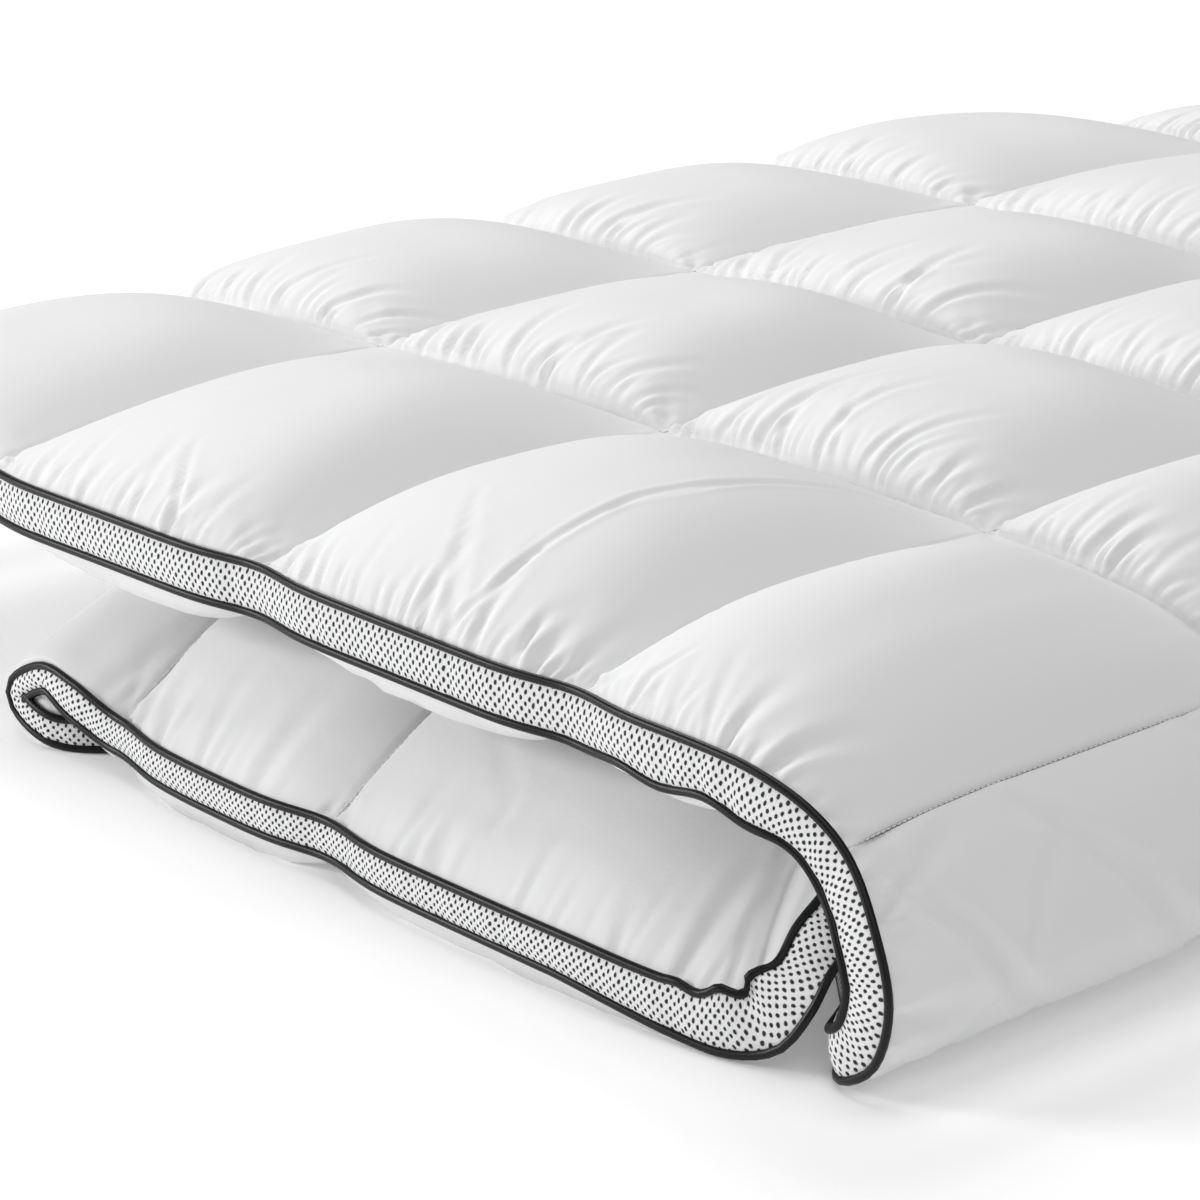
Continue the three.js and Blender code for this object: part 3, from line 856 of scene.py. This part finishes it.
across = np.arange(SEAM_START, DUVET_WIDTH - SEAM_START + 1.0, SEAM_STEP)
along = np.arange(SEAM_START, CHANNEL_D, SEAM_STEP)
channels = [AT["channel " + letter] for letter in STITCHED_CHANNELS]
bars = [stitch_line(np.full(len(across), channel), across) for channel in channels]
bars += [stitch_line(along, np.full(len(along), seam)) for seam in WIDTH_SEAMS]
bars = np.concatenate(bars)
bar_faces = 8 * np.arange(len(bars))[:, None, None] + np.array(BAR_FACES)[None]
stitches = make_mesh("stitches_thread", bars.reshape(-1, 3), bar_faces.reshape(-1, 4), COTTON)
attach(stitches, "root")

# The mesh band and the pipings, swept round the edge.
BAND_LINES = 13
BAND_LAP = 0.4
BAND_FACE_IN = 0.2
BAND_BACK_IN = 1.5
WAVE = 0.5
WAVE_REACH = 47.0
LEAST_UV_HEIGHT = 8.0
PUCKER_MARGIN = 20.0
PUCKER_SEED = 7
PIPING_SIDES = 12
PIPING_OUT = 0.2
PIPING_HALF_OUT = 1.75
PIPING_HALF_UP = 1.95


def section(offsets):
    """A section at each place round the edge, from offsets out of it and up from it."""
    return np.stack([place + o[:, None] * out + u[:, None] * up for o, u in offsets], 1)


def puckers(run):
    """Small troughs across the band, here and there along it."""
    random = np.random.default_rng(PUCKER_SEED)
    depth = np.zeros(len(run))
    spot = PUCKER_MARGIN
    while spot < run[-1] - PUCKER_MARGIN:
        half = random.uniform(2.0, 5.0)
        depth -= random.uniform(0.3, 1.5) * trough(run - spot, half)
        spot += random.uniform(9.0, 46.0)
    return depth


at, place, out, up = perimeter()
run = distance_along(place)
upper, lower = upper_band(at), lower_band(at)
top, foot = upper - BAND_LAP, lower - BAND_LAP
centre, half = (top - foot) / 2, (top + foot) / 2
bulge = MESH_BULGE + WAVE * np.sin(run / WAVE_REACH) + puckers(run)
shares = np.linspace(1, -1, BAND_LINES)
outer = [(bulge * (1 - s * s) - BAND_FACE_IN, centre + s * half) for s in shares]
inner = [(bulge * (1 - s * s) - BAND_BACK_IN, centre + s * half) for s in shares[::-1]]
heights = np.concatenate([shares, shares[::-1]])
uv_heights = heights[None, :] * np.maximum(upper, LEAST_UV_HEIGHT)[:, None]
uvs = np.stack([np.repeat(run, len(heights)), uv_heights.ravel()], 1)
mesh_band = swept("mesh_band_knit", section(outer + inner), KNIT, uvs)
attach(mesh_band, "root")
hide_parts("mesh_band")

turns = np.linspace(0, 2 * math.pi, PIPING_SIDES + 1)[:-1]
for height, node in ((upper, "piping_face"), (-lower, "piping_back")):
    ring = []
    for turn in turns:
        off = np.full(len(height), PIPING_OUT + PIPING_HALF_OUT * math.cos(turn))
        ring.append((off, height + PIPING_HALF_UP * math.sin(turn)))
    cord = swept(node + "_satin", section(ring)[:, ::-1], SATIN)
    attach(cord, "root")
    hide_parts(node)

# The white floor, lights and camera, in metres.
FLOOR_HALF = 12.0
FLOOR_CORNERS = ((-1, -1), (1, -1), (1, 1), (-1, 1))
floor_mesh = bpy.data.meshes.new("floor")
floor_points = [(x * FLOOR_HALF, y * FLOOR_HALF, 0) for x, y in FLOOR_CORNERS]
floor_mesh.from_pydata(floor_points, [], [(0, 1, 2, 3)])
floor = bpy.data.objects.new("floor", floor_mesh)
bpy.context.scene.collection.objects.link(floor)
paper, _, _, _ = new_material(
    "floor_paper",
    Base_Color=(0.93, 0.93, 0.93, 1),
    Roughness=0.9,
    Emission_Color=(1, 1, 1, 1),
    Emission_Strength=0.16,
    Specular_IOR_Level=0.1,
)
floor_mesh.materials.append(paper)

world = bpy.data.worlds.new("studio")
bpy.context.scene.world = world
world.use_nodes = True
world.node_tree.nodes["Background"].inputs["Color"].default_value = (1, 1, 1, 1)
world.node_tree.nodes["Background"].inputs["Strength"].default_value = 0.10

# Square lights that all face one point over the front of the quilt: place, size and power in watts.
LIGHT_TARGET = (0, -0.4, 0.1)
LIGHTS = {
    "left_front": ((-2.60, -3.20, 1.15), 1.1, 88),
    "left_back": ((-2.47, 0.97, 2.88), 1.5, 56),
    "above": ((0.0, -0.4, 4.05), 2.2, 56),
    "camera_side": ((2.07, -2.33, 2.88), 2.2, 30),
    "right": ((3.74, -0.77, 1.42), 2.2, 14),
}
for name, (where, size, power) in LIGHTS.items():
    light_data = bpy.data.lights.new(name, "AREA")
    light_data.shape = "SQUARE"
    light_data.size = size
    light_data.energy = power
    light = bpy.data.objects.new(name, light_data)
    light.location = where
    facing = Vector(LIGHT_TARGET) - Vector(where)
    light.rotation_euler = facing.to_track_quat("-Z", "Y").to_euler()
    bpy.context.scene.collection.objects.link(light)

# The camera that was fitted to the photo. Its place is in the drawing's millimetres.
PHOTO_SIZE = 1200
FOCAL_PIXELS = 4490.0
SENSOR_WIDTH = 36.0
ELEVATION = math.radians(18.81)
AZIMUTH = math.radians(47.09)
EYE = (np.array([1076.278, -1123.250, 726.267]) + ORIGIN) * MM
right = Vector((math.cos(AZIMUTH), math.sin(AZIMUTH), 0))
ahead = Vector((
    -math.sin(AZIMUTH) * math.cos(ELEVATION),
    math.cos(AZIMUTH) * math.cos(ELEVATION),
    -math.sin(ELEVATION),
))
above = right.cross(ahead)
camera_data = bpy.data.cameras.new("camera")
camera_data.sensor_width = SENSOR_WIDTH
camera_data.lens = SENSOR_WIDTH * FOCAL_PIXELS / PHOTO_SIZE
camera_data.clip_end = 60.0
camera = bpy.data.objects.new("camera", camera_data)
turn = Matrix((right, above, -ahead)).transposed().to_4x4()
camera.matrix_world = Matrix.Translation(Vector(EYE.tolist())) @ turn
bpy.context.scene.collection.objects.link(camera)
bpy.context.scene.camera = camera
bpy.context.scene.view_settings.view_transform = "Standard"
